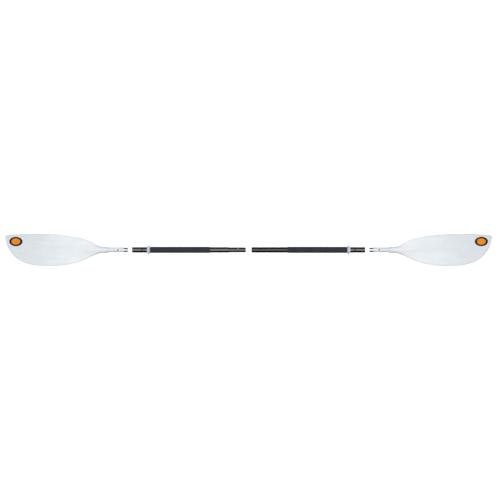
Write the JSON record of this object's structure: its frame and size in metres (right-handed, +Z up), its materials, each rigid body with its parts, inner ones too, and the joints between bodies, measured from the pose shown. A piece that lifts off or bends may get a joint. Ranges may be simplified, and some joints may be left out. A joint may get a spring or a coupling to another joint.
{
  "type": "kayak paddle",
  "caption": "Take-apart double-bladed paddle: spooned blades with banded inserts, black tube shafts with grips and drip rings, and a feathering ferrule joint in the middle.",
  "frame": {"origin": "on the floor below the middle of the laid-out paddle, midway between the two shafts", "axes": "+X along the paddle to the right blade, +Y to the straight edges of the blades, +Z up, out of the power faces"},
  "size_m": [2.7, 0.1794, 0.052],
  "materials": {
    "shaft_black": "black anodised, gloss",
    "ferrule_black": "black anodised, satin",
    "grip_foam": "matte",
    "ring_silicone": "translucent milky",
    "blade_nylon": "satin, filled nylon",
    "core_aluminium": "polished",
    "foam_plug": "closed-cell foam",
    "spring_steel": "rolled strip",
    "button_dark": "blackened steel",
    "button_steel": "bright steel",
    "decal_print": "printed film"
  },
  "bodies": {
    "shaft_left": {"shaft_left_tube": "shaft_black", "shaft_left_bulkhead": "foam_plug", "grip_left": "grip_foam", "ferrule": "ferrule_black", "ferrule_plug": "foam_plug", "ferrule_spring": "spring_steel"},
    "drip_ring_left": {"drip_ring_left": "ring_silicone"},
    "ferrule_button": {"ferrule_button": "button_steel"},
    "blade_left": {"blade_left": "blade_nylon", "blade_left_core_tube": "core_aluminium", "blade_left_core_plug": "foam_plug", "blade_left_spring": "spring_steel", "blade_left_decal": "decal_print"},
    "blade_left_button": {"blade_left_button": "button_dark"},
    "centre_carrier": {"shaft_right_inner_plug": "foam_plug"},
    "shaft_right": {"shaft_right_tube": "shaft_black", "shaft_right_bulkhead": "foam_plug", "grip_right": "grip_foam"},
    "drip_ring_right": {"drip_ring_right": "ring_silicone"},
    "blade_right": {"blade_right": "blade_nylon", "blade_right_core_tube": "core_aluminium", "blade_right_core_plug": "foam_plug", "blade_right_spring": "spring_steel", "blade_right_decal": "decal_print"},
    "blade_right_button": {"blade_right_button": "button_dark"}
  },
  "joints": [
    {"name": "blade_left_slide", "type": "slide", "parent": "shaft_left", "child": "blade_left", "axis": [1, 0, 0], "range_m": [0, 0.1347], "deforming": ["blade_left_button", "blade_left_spring"]},
    {"name": "blade_left_button_press", "type": "slide", "parent": "blade_left", "child": "blade_left_button", "axis": [0, 0, -1], "range_m": [0, 0.004], "stiffness_N_per_m": 1500, "springref_m": -0.002},
    {"name": "centre_slide", "type": "slide", "parent": "shaft_left", "child": "centre_carrier", "axis": [-1, 0, 0], "range_m": [0, 0.1267], "deforming": ["ferrule_button", "ferrule_spring"]},
    {"name": "feather_angle", "type": "hinge", "parent": "centre_carrier", "child": "shaft_right", "pos_m": [0, 0, 0.026], "axis": [1, 0, 0], "range_deg": [-45, 45]},
    {"name": "ferrule_button_press", "type": "slide", "parent": "shaft_left", "child": "ferrule_button", "axis": [0, -0.7071, -0.7071], "range_m": [0, 0.004], "stiffness_N_per_m": 1500, "springref_m": -0.002},
    {"name": "blade_right_slide", "type": "slide", "parent": "shaft_right", "child": "blade_right", "axis": [-1, 0, 0], "range_m": [0, 0.1347], "deforming": ["blade_right_button", "blade_right_spring"]},
    {"name": "blade_right_button_press", "type": "slide", "parent": "blade_right", "child": "blade_right_button", "axis": [0, 0, -1], "range_m": [0, 0.004], "stiffness_N_per_m": 1500, "springref_m": -0.002},
    {"name": "drip_ring_left_slide", "type": "slide", "parent": "shaft_left", "child": "drip_ring_left", "axis": [-1, 0, 0], "range_m": [0, 0.06]},
    {"name": "drip_ring_right_slide", "type": "slide", "parent": "shaft_right", "child": "drip_ring_right", "axis": [1, 0, 0], "range_m": [0, 0.06]}
  ]
}
